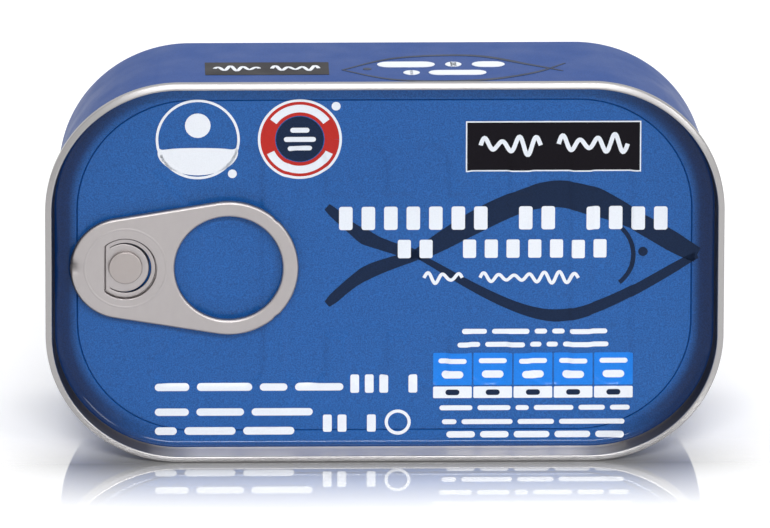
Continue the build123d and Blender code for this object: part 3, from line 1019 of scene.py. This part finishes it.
# %% One piece for each ink
for ink, groups in PRINT.items():
    points, faces, first = [], [], 0
    for marks, lay in groups:
        more_points, more_faces = skins(marks, lay)
        faces += [[number + first for number in face] for face in more_faces]
        points += more_points
        first += sum(len(part) for part in more_points)
    build(f"{ink}_ink", points, faces, INK_FINISH[ink])

# %% [markdown]
# ## Floor, light and camera
# The can stands on a glossy white sheet. Its gloss is strongest at the foot of the can and dies
# away a little in front of it, so the mirror image fades. Rays from the camera, off a gloss or
# through glass see the sheet and the world as plain white. The light itself comes from a wide
# soft lamp above, narrow ones in front, and a world that is bright overhead and dim below.

# %% Rays that see the background
def backdrop_rays(tree):
    """1 for a ray from the camera, off a gloss or through glass, 0 for others: the largest of three."""
    path = tree.nodes.new("ShaderNodeLightPath").outputs
    found = path["Is Camera Ray"]
    for kind in ("Is Glossy Ray", "Is Transmission Ray"):
        largest = tree.nodes.new("ShaderNodeMath")
        largest.operation = "MAXIMUM"
        tree.links.new(found, largest.inputs[0])
        tree.links.new(path[kind], largest.inputs[1])
        found = largest.outputs["Value"]
    return found


# %% Floor
NEAR, FAR = cad_low.y - 0.019, cad_low.y
GLOW = 0.12
floor_white = finish("floor_white", 0.6, Specular_IOR_Level=0.1)
nodes, links = floor_white.node_tree.nodes, floor_white.node_tree.links
spot, parts = nodes.new("ShaderNodeTexCoord"), nodes.new("ShaderNodeSeparateXYZ")
links.new(spot.outputs["Object"], parts.inputs["Vector"])
mottled = shades(
    floor_white, noise(floor_white, 3), (0.3, linear(248, 248, 249)), (0.7, linear(249, 249, 249)))
before_can = spread(floor_white, parts.outputs["Y"], 0, 1, (NEAR - 0.1, NEAR - 0.016))
near_grey = shades(floor_white, before_can, (0.0, linear(190, 190, 190)), (1.0, linear(255, 255, 255)))
seen = backdrop_rays(floor_white.node_tree)
dimmed = mixed(floor_white, "MIX", seen, near_grey, (1, 1, 1, 1))
wire(floor_white, "Base Color", mixed(floor_white, "MULTIPLY", 1.0, mottled, dimmed))
wire(floor_white, "Emission Strength", spread(floor_white, seen, 0.0, GLOW, (0, 1)))
nodes["Principled BSDF"].inputs["Emission Color"].default_value = (1, 1, 1, 1)
gloss, blend = nodes.new("ShaderNodeBsdfGlossy"), nodes.new("ShaderNodeMixShader")
gloss.inputs["Roughness"].default_value = 0.03
across_strip = spread(floor_white, parts.outputs["Y"], 0, 1, (NEAR, FAR + 0.011))
glossy = shades(
    floor_white, across_strip, (0.0, (0, 0, 0, 1)), (0.63, (0.8, 0.8, 0.8, 1)), (1.0, (0, 0, 0, 1)))
# Painted contact shadow: the floor's gloss colour darkens towards the foot of the can, only within the
# can's width.
at_foot = spread(floor_white, parts.outputs["Y"], 0, 1, (FAR - 0.008, FAR))
painted_contact_shadow = shades(floor_white, at_foot, (0.0, (1, 1, 1, 1)), (1.0, (0.38, 0.38, 0.39, 1)))
beyond = spread(floor_white, sized(floor_white, parts.outputs["X"]), 0, 1, (0.04, 0.06))
links.new(mixed(floor_white, "MIX", beyond, painted_contact_shadow, (1, 1, 1, 1)), gloss.inputs["Color"])
links.new(glossy, blend.inputs["Fac"])
links.new(nodes["Principled BSDF"].outputs["BSDF"], blend.inputs[1])
links.new(gloss.outputs["BSDF"], blend.inputs[2])
links.new(blend.outputs["Shader"], nodes["Material Output"].inputs["Surface"])
bpy.ops.mesh.primitive_plane_add(size=16)
floor = bpy.context.object
floor.name = "floor"
floor.data.materials.append(floor_white)
floor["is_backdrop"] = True

# %% World
world = bpy.data.worlds.new("studio")
bpy.context.scene.world = world
world.use_nodes = True
nodes, links = world.node_tree.nodes, world.node_tree.links
look, parts = nodes.new("ShaderNodeTexCoord"), nodes.new("ShaderNodeSeparateXYZ")
links.new(look.outputs["Generated"], parts.inputs["Vector"])
dull, bright = ((level, level, level, 1) for level in (0.1, 0.4))
height = spread(world, parts.outputs["Z"], 0, 1, (0.0, 0.6))
lighting = shades(world, height, (0.0, dull), (1.0, bright))
background = mixed(world, "MIX", backdrop_rays(world.node_tree), lighting, (1, 1, 1, 1))
links.new(background, nodes["Background"].inputs["Color"])


# %% Lamps
def softbox(name, turn, rise, distance, width, height, watts):
    """A rectangular lamp aimed at the can from a turn about it and a rise above the floor, in degrees."""
    lamp = bpy.data.lights.new(name, "AREA")
    lamp.shape, lamp.size, lamp.size_y, lamp.energy = "RECTANGLE", width, height, watts
    holder = bpy.data.objects.new(name, lamp)
    bpy.context.scene.collection.objects.link(holder)
    turn, rise = radians(turn), radians(rise)
    way = Vector((sin(turn) * cos(rise), -cos(turn) * cos(rise), sin(rise)))
    holder.location = (cad_low + cad_high) / 2 + way * distance
    holder.rotation_euler = way.to_track_quat("Z", "Y").to_euler()


softbox("top_light", 180, 80, 0.8, 1.0, 0.7, 4.6)
softbox("front_strip", 0, 38, 1.2, 0.6, 0.14, 6.2)
softbox("right_strip", 40, 24, 1.2, 0.22, 0.4, 2.6)

# %% [markdown]
# ### Camera
# A long lens from far off keeps the can's sides almost parallel. The camera looks down on the
# lid from a little to one side. Its lens follows from the width it has to show at the lid.

# %% Camera
DISTANCE, RISE, ASIDE, ROLL = 2.5, LEAN + radians(17.75), radians(1.2), radians(0.24)
FRAME_WIDTH, FRAME_MM, AIM_ABOVE = 36.0, 770 / 6.396, 1.58
lens = FRAME_WIDTH * DISTANCE / (FRAME_MM * MM)
back = Vector((-sin(ASIDE) * cos(RISE), -cos(ASIDE) * cos(RISE), sin(RISE)))
upward = Vector((0, 0, 1)) - back * back.z
aim = Vector(place(0, 0, 0).tolist()) * MM + upward.normalized() * AIM_ABOVE * MM
camera_data = bpy.data.cameras.new("camera")
camera_data.lens, camera_data.sensor_width = lens, FRAME_WIDTH
camera_data.clip_start, camera_data.clip_end = 0.05, 50.0
camera = bpy.data.objects.new("camera", camera_data)
camera.location = aim + back * DISTANCE
camera.rotation_euler = ((-back).to_track_quat("-Z", "Y") @ Quaternion((0, 0, 1), ROLL)).to_euler()
bpy.context.scene.collection.objects.link(camera)
bpy.context.scene.camera = camera
bpy.context.scene.view_settings.view_transform = "Standard"

# %% Sizes, then finish
low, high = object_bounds()
